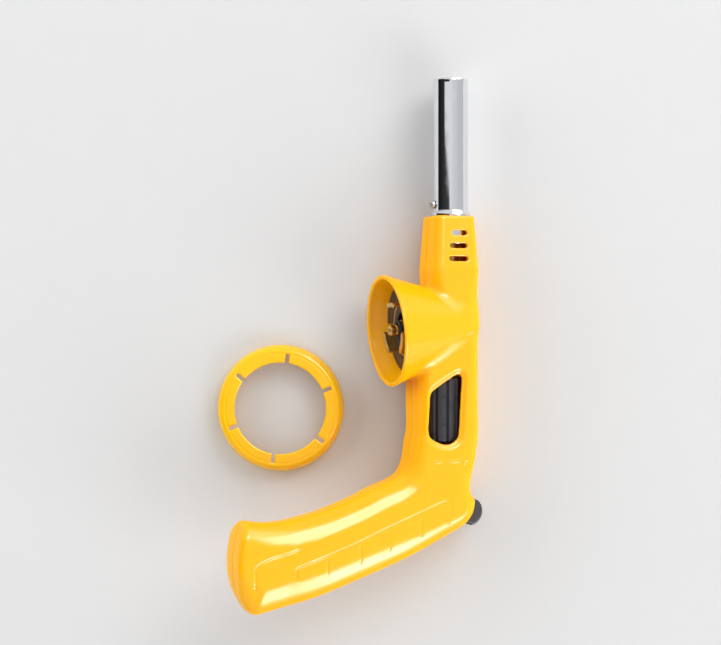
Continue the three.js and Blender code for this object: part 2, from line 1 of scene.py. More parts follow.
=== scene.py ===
"""Gas torch with a loose centring ring, both lying on the floor under a camera that looks down.

Torch frame, in mm: x across, y along the burner tube towards its mouth, z across the parting
plane. The front shell is on +z. The tube's axis is x = z = 0 and the handle runs off towards -x, -y.
The torch lies rolled about y; torch_to_scene turns its frame into scene metres.
"""
import bpy
import json
import math
import numpy as np
import openvdb
from concurrent.futures import ThreadPoolExecutor
from functools import reduce
from mathutils import Vector
from types import SimpleNamespace
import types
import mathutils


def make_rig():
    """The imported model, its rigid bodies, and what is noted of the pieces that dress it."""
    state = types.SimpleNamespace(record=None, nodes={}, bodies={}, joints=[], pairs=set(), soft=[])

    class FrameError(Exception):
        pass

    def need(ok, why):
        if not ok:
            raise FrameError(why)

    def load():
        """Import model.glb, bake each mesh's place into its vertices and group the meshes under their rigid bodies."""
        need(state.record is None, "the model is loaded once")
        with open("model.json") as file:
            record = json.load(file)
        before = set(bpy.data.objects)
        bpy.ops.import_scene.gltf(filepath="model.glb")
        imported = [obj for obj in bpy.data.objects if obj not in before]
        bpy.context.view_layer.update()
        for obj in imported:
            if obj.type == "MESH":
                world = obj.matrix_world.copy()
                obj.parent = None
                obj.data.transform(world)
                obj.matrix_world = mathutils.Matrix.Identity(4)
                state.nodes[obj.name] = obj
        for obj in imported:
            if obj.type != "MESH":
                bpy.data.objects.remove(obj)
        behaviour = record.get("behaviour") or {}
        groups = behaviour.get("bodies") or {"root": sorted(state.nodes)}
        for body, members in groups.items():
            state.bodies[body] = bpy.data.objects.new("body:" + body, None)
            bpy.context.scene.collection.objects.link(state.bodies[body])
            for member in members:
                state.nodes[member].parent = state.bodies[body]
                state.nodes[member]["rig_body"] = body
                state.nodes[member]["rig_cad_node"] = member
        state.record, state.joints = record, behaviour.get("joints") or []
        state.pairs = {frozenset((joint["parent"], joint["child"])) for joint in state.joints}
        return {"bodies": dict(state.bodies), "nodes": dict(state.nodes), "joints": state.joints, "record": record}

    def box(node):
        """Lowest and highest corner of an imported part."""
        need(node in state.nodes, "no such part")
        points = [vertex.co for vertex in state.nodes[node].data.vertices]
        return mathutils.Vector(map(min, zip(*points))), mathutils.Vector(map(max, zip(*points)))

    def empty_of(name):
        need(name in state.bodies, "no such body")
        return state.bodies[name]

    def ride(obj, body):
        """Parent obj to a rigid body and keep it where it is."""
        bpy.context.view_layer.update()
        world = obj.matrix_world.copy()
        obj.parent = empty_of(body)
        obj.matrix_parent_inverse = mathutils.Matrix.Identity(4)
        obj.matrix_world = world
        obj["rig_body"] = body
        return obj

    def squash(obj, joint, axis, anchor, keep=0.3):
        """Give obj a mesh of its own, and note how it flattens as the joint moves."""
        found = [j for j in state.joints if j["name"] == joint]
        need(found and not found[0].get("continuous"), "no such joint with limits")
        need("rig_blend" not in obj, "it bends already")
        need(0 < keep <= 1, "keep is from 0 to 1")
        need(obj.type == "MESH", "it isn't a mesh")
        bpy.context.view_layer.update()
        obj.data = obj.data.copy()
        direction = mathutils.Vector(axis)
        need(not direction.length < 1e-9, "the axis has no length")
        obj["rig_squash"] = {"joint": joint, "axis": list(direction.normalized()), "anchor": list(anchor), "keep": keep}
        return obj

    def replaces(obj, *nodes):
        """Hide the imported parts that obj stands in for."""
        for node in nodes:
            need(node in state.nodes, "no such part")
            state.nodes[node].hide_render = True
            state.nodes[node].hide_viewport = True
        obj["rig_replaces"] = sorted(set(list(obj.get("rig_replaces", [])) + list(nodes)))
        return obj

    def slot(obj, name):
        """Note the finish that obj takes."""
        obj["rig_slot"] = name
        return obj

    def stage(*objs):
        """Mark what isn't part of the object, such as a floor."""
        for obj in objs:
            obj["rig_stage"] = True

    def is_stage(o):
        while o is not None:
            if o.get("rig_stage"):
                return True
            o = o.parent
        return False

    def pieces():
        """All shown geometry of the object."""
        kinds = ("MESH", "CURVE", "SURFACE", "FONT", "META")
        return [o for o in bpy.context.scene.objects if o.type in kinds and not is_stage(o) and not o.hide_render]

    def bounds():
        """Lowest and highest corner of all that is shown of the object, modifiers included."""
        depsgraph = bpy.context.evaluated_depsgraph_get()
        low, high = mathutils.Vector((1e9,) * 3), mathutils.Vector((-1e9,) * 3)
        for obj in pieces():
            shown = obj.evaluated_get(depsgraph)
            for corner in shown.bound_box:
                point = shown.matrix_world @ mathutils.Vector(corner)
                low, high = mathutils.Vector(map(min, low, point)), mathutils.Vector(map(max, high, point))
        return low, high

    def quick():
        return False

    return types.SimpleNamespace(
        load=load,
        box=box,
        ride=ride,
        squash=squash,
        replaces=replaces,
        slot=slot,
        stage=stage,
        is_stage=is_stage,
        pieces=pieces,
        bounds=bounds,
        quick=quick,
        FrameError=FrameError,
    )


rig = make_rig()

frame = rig.load()
cad_bounds = [list(corner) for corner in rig.bounds()]

# ---- grid steps, mm ----
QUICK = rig.quick()
SHELL_STEP = 0.7 if QUICK else 0.5
SMALL_STEP = 0.45 if QUICK else 0.3
HEAD_STEP = 0.35 if QUICK else 0.22
SCREW_STEP = 0.28 if QUICK else 0.16
RING_STEP = 0.6 if QUICK else 0.4

# ---- where the torch and the ring lie ----
ROLL = math.radians(19.3)
TUBE_END = 124.0                    # y of the tube's mouth
tube_low, tube_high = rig.box("burner_tube")
TORCH_AT = ((tube_low.x + tube_high.x) * 500, tube_high.y * 1000 - TUBE_END,
            (tube_low.z + tube_high.z) * 500)
ring_low, ring_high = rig.box("cartridge_ring")
RING_AT = ((ring_low.x + ring_high.x) * 500, (ring_low.y + ring_high.y) * 500, ring_low.z * 1000)

X_AXIS, Y_AXIS, Z_AXIS = np.eye(3)


def torch_to_scene(p):
    cos, sin = math.cos(ROLL), math.sin(ROLL)
    return np.stack([TORCH_AT[0] + p[:, 0] * cos + p[:, 2] * sin, TORCH_AT[1] + p[:, 1],
                     TORCH_AT[2] - p[:, 0] * sin + p[:, 2] * cos], 1) / 1000


def ring_to_scene(p):
    return np.stack([RING_AT[k] + p[:, k] for k in range(3)], 1) / 1000


def unit(v):
    v = np.asarray(v, float)
    return v / np.linalg.norm(v)


def local_frame(origin, first, second, third):
    """Map from a piece's own three axes, given in the torch frame, to the scene."""
    origin = np.asarray(origin, float)
    return lambda p: torch_to_scene(
        origin + p[:, 0:1] * first + p[:, 1:2] * second + p[:, 2:3] * third)


def axis_frame(origin, direction):
    """Frame of a turned piece: its third axis runs along direction."""
    along = unit(direction)
    across = unit(np.cross(Z_AXIS if abs(along[2]) < 0.9 else Y_AXIS, along))
    return local_frame(origin, across, np.cross(along, across), along)


# ---- driving dimensions of the torch, mm ----
FACE = 14.5                         # flat faces of the shells, measured from the parting plane
NECK_SEAT = 9.6                     # the same under the screw on the neck
NECK_SCREW_FROM = 10                # screws above this y belong to the neck
WALL = 2.2

# cartridge socket: a cone on the -x side of the neck
SOCKET_TILT = math.radians(5)
SOCKET_COS, SOCKET_SIN = math.cos(SOCKET_TILT), math.sin(SOCKET_TILT)
SOCKET_MOUTH = (-35.1, -4.3)
SOCKET_RADIUS = 28.5                # outer radius at the mouth
SOCKET_SLOPE = (SOCKET_RADIUS - 11) / 49.2
CONE_SCALE = 0.942                  # turns a radial distance into one square to the cone
LEDGE_DEPTH = 14.8

# igniter button, on the handle
BUTTON_AT = (15.4, -97.6)
BUTTON_IN = unit((-0.963, 0.27, 0))                         # direction of the press
BUTTON_ACROSS = np.array([-BUTTON_IN[1], BUTTON_IN[0], 0.0])
BUTTON_ORIGIN = np.array([*BUTTON_AT, 0.0])

DRUM_X = -6.2                       # axis of the thumb drum, parallel to the tube

SOCKET_FRAME = local_frame((*SOCKET_MOUTH, 0), np.array([-SOCKET_SIN, SOCKET_COS, 0.0]), Z_AXIS,
                           np.array([SOCKET_COS, SOCKET_SIN, 0.0]))     # third axis is the depth
BUTTON_FRAME = local_frame(BUTTON_ORIGIN, BUTTON_ACROSS, Z_AXIS, BUTTON_IN)
TUBE_FRAME = axis_frame((0, 0, 0), Y_AXIS)
HEAD_FRAME = local_frame((0, 0, 0), X_AXIS, Z_AXIS, Y_AXIS)


# ---- materials ----
class Shader:
    """Short calls that add linked nodes to a node tree."""

    def __init__(self, tree):
        tree.nodes.clear()
        self.tree = tree

    def fill(self, node, inputs):
        """Link each input to a socket, or set its value."""
        for key, value in inputs.items():
            if isinstance(value, bpy.types.NodeSocket):
                self.tree.links.new(value, node.inputs[key])
            else:
                node.inputs[key].default_value = value

    def node(self, kind, inputs, **settings):
        node = self.tree.nodes.new("ShaderNode" + kind)
        for key, value in settings.items():
            setattr(node, key, value)
        self.fill(node, inputs)
        return node

    def noise(self, vector, output="Fac", **inputs):
        return self.node("TexNoise", {"Vector": vector, **inputs}).outputs[output]

    def mix(self, factor, first, second):
        return self.node("Mix", {0: factor, 6: first, 7: second}, data_type="RGBA").outputs[2]

    def math(self, operation, *values):
        return self.node("Math", dict(enumerate(values)), operation=operation).outputs[0]

    def ramp(self, value, start, end, low, high, smooth=False):
        """Map start..end to low..high."""
        return self.node("MapRange", dict(enumerate((value, start, end, low, high))),
                         interpolation_type="SMOOTHSTEP" if smooth else "LINEAR").outputs[0]


def base_color(shader, vector, color, mottle, mottle_scale, stain, wear, wear_color):
    color = np.array(color, float)
    clouds = shader.noise(vector, Scale=mottle_scale, Detail=4)
    result = shader.mix(clouds, (*np.clip(color * (1 - mottle), 0, 1), 1),
                        (*np.clip(color * (1 + mottle) + mottle * 0.02, 0, 1), 1))
    if stain > 0:                   # faint clouding from handling
        clouds = shader.noise(vector, Scale=23, Detail=6, Roughness=0.65)
        amount = shader.ramp(clouds, start=0.45, end=0.75, low=0, high=stain)
        result = shader.mix(amount, result, (*(color * 0.75), 1))
    if wear > 0:                    # broken up lighter colour on convex edges
        pointiness = shader.node("NewGeometry", {}).outputs["Pointiness"]
        edges = shader.ramp(pointiness, start=0.52, end=0.62, low=0, high=wear, smooth=True)
        patches = shader.noise(vector, Scale=350, Detail=3)
        result = shader.mix(shader.math("MULTIPLY", edges, patches), result, (*wear_color, 1))
    return result


def surface_height(shader, vector, scale, brushed, scratches):
    """Fine texture, stretched by the brushed scale if there is one, less the scratches."""
    grain = vector
    if brushed:
        grain = shader.node("Mapping", {"Vector": vector, "Scale": brushed}).outputs[0]
    height = shader.noise(grain, Scale=scale, Detail=3)
    if scratches > 0:
        warp = shader.noise(vector, output="Color", Scale=14, Distortion=1.0)
        streaks = shader.node("Mapping", {"Vector": warp, "Scale": (1, 0.12, 1),
                                          "Rotation": (0.2, 0.1, 0.6)}).outputs[0]
        cells = shader.node("TexVoronoi", {"Vector": streaks, "Scale": 90},
                            feature="DISTANCE_TO_EDGE")
        cuts = shader.ramp(cells.outputs["Distance"], start=0, end=0.012, low=-scratches, high=0)
        height = shader.math("ADD", height, cuts)
    return height


def make_material(name, color, roughness, mottle, bump, metallic=0.0, mottle_scale=60,
                  roughness_spread=0.08, bump_scale=900, bump_depth=0.00006, subsurface=0.0,
                  subsurface_radius=(1, 0.3, 0.05), wear=0.0, wear_color=(1, 1, 1),
                  scratches=0.0, brushed=None, specular=0.5, stain=0.0, grazing=1.0):
    """Principled material with mottling, stain, edge wear and fine bump. Scales are per metre.

    grazing is the share of the specular level left where a face turns away.
    """
    material = bpy.data.materials.new(name)
    material.use_nodes = True
    shader = Shader(material.node_tree)
    bsdf = shader.node("BsdfPrincipled", {"Metallic": metallic, "IOR": 1.47,
                                          "Specular IOR Level": specular})
    shader.node("OutputMaterial", {0: bsdf.outputs[0]})
    vector = shader.node("TexCoord", {}).outputs["Object"]
    inputs = {"Base Color": base_color(shader, vector, color, mottle, mottle_scale, stain,
                                       wear, wear_color)}
    inputs["Roughness"] = shader.ramp(
        shader.noise(vector, Scale=180, Detail=5), start=0.3, end=0.7,
        low=max(0.02, roughness - roughness_spread), high=min(1, roughness + roughness_spread))
    if grazing < 1:
        facing = shader.node("LayerWeight", {0: 0.5}).outputs["Facing"]
        inputs["Specular IOR Level"] = shader.ramp(
            facing, start=0.25, end=0.58, low=specular, high=specular * grazing, smooth=True)
    if subsurface > 0:
        inputs.update({"Subsurface Weight": subsurface, "Subsurface Radius": subsurface_radius,
                       "Subsurface Scale": 0.003})
    height = surface_height(shader, vector, bump_scale, brushed, scratches)
    inputs["Normal"] = shader.node("Bump", {"Strength": bump, "Distance": bump_depth,
                                            "Height": height}).outputs[0]
    shader.fill(bsdf, inputs)
    return material


# by material slot; ring_plastic is the ring's own finish for the yellow slot
MATERIALS = {
    "yellow_plastic": make_material(
        "yellow_plastic", color=(1.0, 0.455, 0.004), roughness=0.23, mottle=0.02,
        mottle_scale=30, roughness_spread=0.04, bump=0.12, bump_scale=700, bump_depth=0.00004,
        subsurface=0.22, wear=0.12, wear_color=(1.0, 0.52, 0.04), stain=0.04, scratches=0.05,
        specular=0.4, grazing=0.12),
    "ring_plastic": make_material(
        "ring_plastic", color=(0.97, 0.53, 0.003), roughness=0.2, mottle=0.03, mottle_scale=40,
        roughness_spread=0.05, bump=0.12, bump_scale=600, bump_depth=0.00004, subsurface=0.3,
        subsurface_radius=(1, 0.40, 0.04), wear=0.15, wear_color=(1.0, 0.55, 0.06), stain=0.05,
        specular=0.45, grazing=0.2),
    "black_plastic": make_material(
        "black_plastic", color=(0.022, 0.020, 0.024), roughness=0.33, mottle=0.25,
        mottle_scale=120, bump=0.35, bump_scale=1500, bump_depth=0.00005, wear=0.35,
        wear_color=(0.12, 0.12, 0.13), stain=0.3),
    "chrome": make_material(
        "chrome", color=(0.83, 0.84, 0.87), roughness=0.07, metallic=1.0, mottle=0.02,
        mottle_scale=25, roughness_spread=0.03, bump=0.05, bump_scale=220, bump_depth=0.00008,
        brushed=(1, 0.06, 1), scratches=0.05),
    "brass": make_material(
        "brass", color=(0.76, 0.52, 0.17), roughness=0.34, metallic=1.0, mottle=0.14,
        mottle_scale=160, roughness_spread=0.1, bump=0.25, bump_scale=700, bump_depth=0.00005,
        wear=0.4, wear_color=(0.9, 0.72, 0.36), stain=0.3),
    "steel": make_material(
        "zinc_steel", color=(0.62, 0.62, 0.64), roughness=0.28, metallic=1.0, mottle=0.08,
        mottle_scale=160, roughness_spread=0.1, bump=0.25, bump_depth=0.00004, wear=0.4,
        wear_color=(0.85, 0.85, 0.86), stain=0.15),
    "rubber": make_material(
        "rubber", color=(0.013, 0.013, 0.014), roughness=0.62, mottle=0.2,
        roughness_spread=0.1, bump=0.4, bump_scale=1400, bump_depth=0.00005),
    "ceramic": make_material(
        "ceramic", color=(0.78, 0.75, 0.68), roughness=0.45, mottle=0.05,
        roughness_spread=0.1, bump=0.3, bump_scale=1600, bump_depth=0.00003, stain=0.15),
    "red_wire": make_material(
        "red_wire", color=(0.42, 0.018, 0.012), roughness=0.42, mottle=0.1, bump=0.2),
    "dark_plastic": make_material(
        "dark_plastic", color=(0.03, 0.032, 0.038), roughness=0.45, mottle=0.2,
        roughness_spread=0.1, bump=0.3, bump_scale=1300),
}


def dress_cad_pieces():
    for subpart in frame["record"]["subparts"]:
        piece = frame["nodes"].get(subpart["node"])
        if piece is not None:
            piece.data.materials.clear()
            piece.data.materials.append(MATERIALS[subpart["material_slot"]])


# ---- meshes ----
def add_part(name, node, slot, verts, faces, body="torch", finish=None):
    """Object that stands in for a CAD node; faces are a list or a (triangles, quads) pair."""
    mesh = bpy.data.meshes.new(name)
    verts = np.asarray(verts, np.float32)
    if isinstance(faces, tuple):
        triangles, quads = faces
        loops = np.concatenate([triangles.ravel(), quads.ravel()]).astype(np.int32)
        sizes = np.repeat([3, 4], [len(triangles), len(quads)]).astype(np.int32)
        starts = np.concatenate([[0], np.cumsum(sizes)[:-1]]).astype(np.int32)
        mesh.vertices.add(len(verts))
        mesh.vertices.foreach_set("co", verts.ravel())
        mesh.loops.add(len(loops))
        mesh.loops.foreach_set("vertex_index", loops)
        mesh.polygons.add(len(sizes))
        mesh.polygons.foreach_set("loop_start", starts)
        mesh.polygons.foreach_set("loop_total", sizes)
        mesh.update(calc_edges=True)
    else:
        mesh.from_pydata(verts.tolist(), [], faces)
        mesh.update()
    mesh.validate()
    mesh.polygons.foreach_set("use_smooth", np.ones(len(mesh.polygons), bool))
    mesh.materials.append(MATERIALS[finish or slot])
    part = bpy.data.objects.new(name, mesh)
    bpy.context.scene.collection.objects.link(part)
    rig.ride(part, body)
    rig.replaces(part, node)
    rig.slot(part, slot)
    return part


def signed_volume(verts, triangles):
    """Six times the enclosed volume, negative where the faces point in."""
    a, b, c = (verts[triangles[:, k]] for k in range(3))
    return np.einsum("ij,ij->i", a, np.cross(b, c)).sum()


def grid_axis(low, high, step):
    count = math.ceil((high - low) / step) + 1
    return (low + step * np.arange(count)).astype(np.float32)


def grid_mesh(field, low, high, step, place, maps=None):
    """Closed mesh of the zero surface of field(x, y, z), which is negative inside.

    maps are named x-y grids that the field also takes, cut to the rows being filled.
    """
    xs, ys, zs = [grid_axis(start, end, step) for start, end in zip(low, high)]
    values = np.empty((len(xs), len(ys), len(zs)), np.float32)
    rows_at_once = 8
    limit = 3 * step

    def fill(start):
        rows = slice(start, start + rows_at_once)
        cut_maps = {name: grid[rows][:, :, None] for name, grid in (maps or {}).items()}
        result = field(xs[rows][:, None, None], ys[None, :, None], zs[None, None, :], **cut_maps)
        values[rows] = np.clip(result, -limit, limit)
    with ThreadPoolExecutor(4) as pool:
        list(pool.map(fill, range(0, len(xs), rows_at_once)))
    grid = openvdb.FloatGrid(background=limit)
    grid.copyFromArray(values)
    points, triangles, quads = grid.convertToPolygons(isovalue=0.0, adaptivity=0.0)
    verts = place(np.array(low, float) + np.asarray(points, float) * step)
    triangles = np.asarray(triangles).reshape(-1, 3)
    quads = np.asarray(quads).reshape(-1, 4)
    halves = np.concatenate([triangles, quads[:, [0, 1, 2]], quads[:, [0, 2, 3]]])
    if signed_volume(verts, halves) < 0:
        triangles, quads = triangles[:, ::-1].copy(), quads[:, ::-1].copy()
    return verts, (triangles, quads)


def square_box(half_width, bottom, top):
    """Grid limits of a box centred on the third axis."""
    return (-half_width, -half_width, bottom), (half_width, half_width, top)


def rounded(profile, radius):
    """Profile with its inner corners rounded, and extra points near the ends of long runs."""
    pieces = 3
    points = [profile[0]]
    for before, corner, after in zip(profile, profile[1:], profile[2:]):
        a, b, c = (np.array(p, float) for p in (before, corner, after))
        length_a, length_c = np.linalg.norm(a - b), np.linalg.norm(c - b)
        cut_back = min(radius, length_a * 0.45, length_c * 0.45)
        start, end = b + (a - b) / length_a * cut_back, b + (c - b) / length_c * cut_back
        for j in range(pieces + 1):
            t = j / pieces
            points.append(tuple((1 - t) ** 2 * start + 2 * t * (1 - t) * b + t * t * end))
    points.append(profile[-1])
    # the extra points keep the shading true along long straight runs
    result = [points[0]]
    for p, q in zip(points, points[1:]):
        length = math.dist(p, q)
        if length > 2.0:
            for f in (0.15 / length, 0.5 / length, 1 - 0.5 / length, 1 - 0.15 / length):
                result.append((p[0] + (q[0] - p[0]) * f, p[1] + (q[1] - p[1]) * f))
        result.append(q)
    return result


def lathe(profile, sides, closed):
    """Turned (radius, along) profile; a radius of 0 closes it, closed joins its ends."""
    verts, faces, rows = [], [], []
    angles = [2 * math.pi * i / sides for i in range(sides)]
    for radius, along in profile:
        start = len(verts)
        if radius < 1e-6:
            verts.append((0, 0, along))
        else:
            verts += [(radius * math.cos(a), radius * math.sin(a), along) for a in angles]
        rows.append(range(start, len(verts)))
    for a, b in list(zip(rows, rows[1:])) + ([(rows[-1], rows[0])] if closed else []):
        for i in range(sides):
            j = (i + 1) % sides
            if len(a) == 1:
                faces.append((a[0], b[i], b[j]))
            elif len(b) == 1:
                faces.append((a[i], b[0], a[j]))
            else:
                faces.append((a[i], b[i], b[j], a[j]))
    return np.array(verts, float), faces


def turned_mesh(profile, sides, place, closed=False, rounding=0.3, reshape=None):
    if closed:
        profile = rounded([profile[-1]] + profile + [profile[0]], rounding)[1:-1]
    else:
        profile = rounded(profile, rounding)
    verts, faces = lathe(profile, sides, closed)
    if reshape is not None:
        verts = reshape(verts)
    verts = place(verts)
    fans = [(f[0], f[k], f[k + 1]) for f in faces for k in range(1, len(f) - 1)]
    if signed_volume(verts, np.array(fans)) < 0:
        faces = [tuple(reversed(f)) for f in faces]
    return verts, faces


def swept_mesh(stations, sides):
    """Capped wire through (centre, first axis, second axis, radius) stations."""
    verts = []
    for centre, first, second, radius in stations:
        for j in range(sides):
            a = 2 * math.pi * j / sides
            verts.append(centre + radius * (math.cos(a) * first + math.sin(a) * second))
    last = len(stations) - 1
    faces = [(i * sides + j, i * sides + (j + 1) % sides,
              (i + 1) * sides + (j + 1) % sides, (i + 1) * sides + j)
             for i in range(last) for j in range(sides)]
    faces += [tuple(range(sides - 1, -1, -1)), tuple(last * sides + j for j in range(sides))]
    return torch_to_scene(np.array(verts)), faces


# ---- distance fields, negative inside ----
FAR = 9.0                           # cap of the distances in the shell's maps


def smooth_min(a, b, blend):
    h = np.clip(0.5 + 0.5 * (b - a) / blend, 0, 1)
    return b + (a - b) * h - blend * h * (1 - h)


def smooth_max(a, b, blend):
    return -smooth_min(-a, -b, blend)


def cut(solid, hole, blend):
    return smooth_max(solid, -hole, blend)


def round_max(a, b, radius):
    """Intersection with its edge rounded."""
    return (np.minimum(np.maximum(a, b), -radius)
            + np.sqrt(np.maximum(a + radius, 0) ** 2 + np.maximum(b + radius, 0) ** 2))


def round_corner(a, b, radius):
    """Corner between two sides; a and b are measured from the centre of its arc."""
    return (np.sqrt(np.maximum(a, 0) ** 2 + np.maximum(b, 0) ** 2)
            + np.minimum(np.maximum(a, b), 0) - radius)


def intersect(*fields):
    return reduce(np.maximum, fields)


def nearest(fields):
    return reduce(np.minimum, fields, FAR)


def within(value, low, high):
    return np.maximum(low - value, value - high)


def distance(a, b):
    return np.sqrt(a * a + b * b)


def smooth_step(start, end, value):
    t = np.clip((value - start) / (end - start), 0, 1)
    return t * t * (3 - 2 * t)


def interpolate(value, places, values):
    return np.interp(value, places, values).astype(np.float32)


def segment_distance2(x, y, ax, ay, ex, ey, length2):
    """Squared distance to the segment from (ax, ay) along (ex, ey)."""
    wx, wy = x - ax, y - ay
    t = np.clip((wx * ex + wy * ey) / length2, 0, 1)
    return (wx - ex * t) ** 2 + (wy - ey * t) ** 2


def polygon_distance(points, x, y):
    """Signed distance to a polygon on an x-y grid."""
    starts = np.asarray(points, np.float32)
    nearest2 = np.full(np.broadcast(x, y).shape, 1e9, np.float32)
    inside = np.zeros(nearest2.shape, bool)
    for (ax, ay), (bx, by) in zip(starts, np.roll(starts, -1, 0)):
        ex, ey = bx - ax, by - ay
        length2 = ex * ex + ey * ey
        if length2 < 1e-9:
            continue
        nearest2 = np.minimum(nearest2, segment_distance2(x, y, ax, ay, ex, ey, length2))
        if abs(ey) > 1e-9:
            crosses = (ay <= y) != (by <= y)
            inside ^= crosses & (x < ax + (y - ay) * (ex / ey))
    outline = np.sqrt(nearest2)
    return np.where(inside, -outline, outline).astype(np.float32)


def line_distance(points, x, y):
    """Distance to an open line on an x-y grid."""
    nearest2 = np.full(np.broadcast(x, y).shape, 1e9, np.float32)
    for (ax, ay), (bx, by) in zip(points, points[1:]):
        ex, ey = bx - ax, by - ay
        length2 = max(ex * ex + ey * ey, 1e-9)
        nearest2 = np.minimum(nearest2, segment_distance2(x, y, ax, ay, ex, ey, length2))
    return np.sqrt(nearest2).astype(np.float32)


def spline(points, pieces):
    """Centripetal spline through the points, each span in so many pieces."""
    def mix(p, q, start, end, t):
        return (end - t) / (end - start) * p + (t - start) / (end - start) * q

    points = [np.array(p, float) for p in points]
    points = [2 * points[0] - points[1]] + points + [2 * points[-1] - points[-2]]
    result = []
    for p0, p1, p2, p3 in zip(points, points[1:], points[2:], points[3:]):
        knots = [0]
        for a, b in ((p0, p1), (p1, p2), (p2, p3)):
            knots.append(knots[-1] + max(np.linalg.norm(b - a), 1e-6) ** 0.5)
        t0, t1, t2, t3 = knots
        for j in range(pieces):
            t = t1 + (t2 - t1) * j / pieces
            a1, a2, a3 = mix(p0, p1, t0, t1, t), mix(p1, p2, t1, t2, t), mix(p2, p3, t2, t3, t)
            b1, b2 = mix(a1, a2, t0, t2, t), mix(a2, a3, t1, t3, t)
            result.append(tuple(mix(b1, b2, t1, t2, t)))
    result.append(tuple(points[-2]))
    return result


# ---- moulded shells: outlines in x, y ----
# down the -x side of the receiver and along the handle's upper edge to its end
UPPER_EDGE = [
    (-21.3, 4), (-21.3, -20), (-21.3, -40), (-21.3, -54.5), (-22.4, -60), (-23.8, -69),
    (-26.5, -74.6), (-31.5, -78.2), (-43.4, -82.9), (-51.6, -86.8), (-59.6, -90),
    (-69.8, -93.6), (-80.2, -96.2), (-90.5, -98.2), (-99.8, -98.6), (-106, -97.9), (-128, -94)]
# back along the handle's lower edge, past the button and up the receiver's +x side
LOWER_EDGE = [
    (-128, -127), (-116.5, -134), (-112.6, -137.6), (-109.6, -140.9), (-106.8, -143.0),
    (-103.6, -143.6), (-99.8, -142.7), (-90, -140.3), (-80.2, -137.9), (-69.8, -134.8),
    (-59.3, -131), (-38.1, -123.2), (-27.4, -118.9), (-16.6, -113.8), (-5.7, -108.2),
    (0.8, -104.9), (4.9, -102.4), (7.3, -99.9), (9.2, -97), (10.3, -93), (10.3, -89.6),
    (8.6, -87.4), (7.9, -85), (8.0, -81), (8.6, -75.5), (10.2, -65.3), (11.1, -60),
    (11.1, -40), (11.1, -20), (11.1, 4)]
OUTLINE = spline(UPPER_EDGE, 5) + spline(LOWER_EDGE, 5)
# opening over the thumb drum; the last point meets the first
WINDOW = spline([
    (-16.07, -37.28), (-15.27, -35.28), (-11.5, -32.32), (-6.1, -28.87), (-1.77, -26.4),
    (-0.14, -26.41), (0.67, -27.93), (0.3, -36), (-0.14, -44.02), (-0.69, -54.07),
    (-1.23, -57.58), (-2.85, -59.56), (-6.1, -61.25), (-8.8, -61.19), (-12.58, -59.86),
    (-15.8, -57.79), (-16.88, -55.77), (-16.61, -46.27), (-16.07, -37.28)], 4)[:-1]
OUTER_GROOVE = spline([
    (-106.98, -129.74), (-106.98, -121.01), (-106.48, -119.58), (-105.21, -118.17),
    (-101.17, -115.91), (-95.08, -114.21), (-88.96, -112.51), (-84.87, -110.96),
    (-78.71, -108.5)], 3)
# a long groove along the handle and four short cross grooves
GROOVES = [
    spline([
        (-86.15, -125.32), (-86.15, -120.68), (-85.13, -119.89), (-82.82, -119.11),
        (-79.74, -118.01), (-56.41, -109.65), (-42.23, -103.59), (-27.92, -97.77),
        (-13.46, -91.94), (-10.22, -90.54), (-7.79, -90.21), (-5.63, -91.43),
        (-4.82, -93.47), (-5.25, -95.21), (-6.33, -97.44), (-6.66, -101.69)], 3),
    [(-70.45, -117.2), (-70.45, -123.6)], [(-53.27, -111.4), (-53.27, -118.9)],
    [(-38.01, -104.1), (-38.01, -113.5)], [(-21.24, -98.2), (-21.24, -106.7)]]
# raised marks between the window and the handle: (line, half width) strokes and a wedge
MARK_STROKES = [([(-14.4, -69.9), (-11.4, -69.9)], 0.45), ([(0.3, -69.2), (3.1, -69.2)], 0.42),
                ([(1.7, -67.8), (1.7, -70.6)], 0.42)]
MARK_WEDGE = [(-7.0, -69.6), (-1.0, -68.5), (-1.0, -70.3), (-7.0, -69.75)]
VENTS = [(0.4, 45.35, 8.4), (-0.15, 38.8, 9.4), (-0.3, 32.2, 10.2)]     # x, y, length
VENT_RADIUS = 1.25
SCREWS = [(-8.6, 29.5), (-15, -20.5), (-14.6, -70.5), (-46, -106), (-79, -117.5), (-105, -121)]

SHELL_LOW, SHELL_HIGH = (-120, -148), (21, 58)
SHELL_DEPTH = 30.0
CHAMFER_TILT = math.radians(17)     # shallow chamfer along the handle


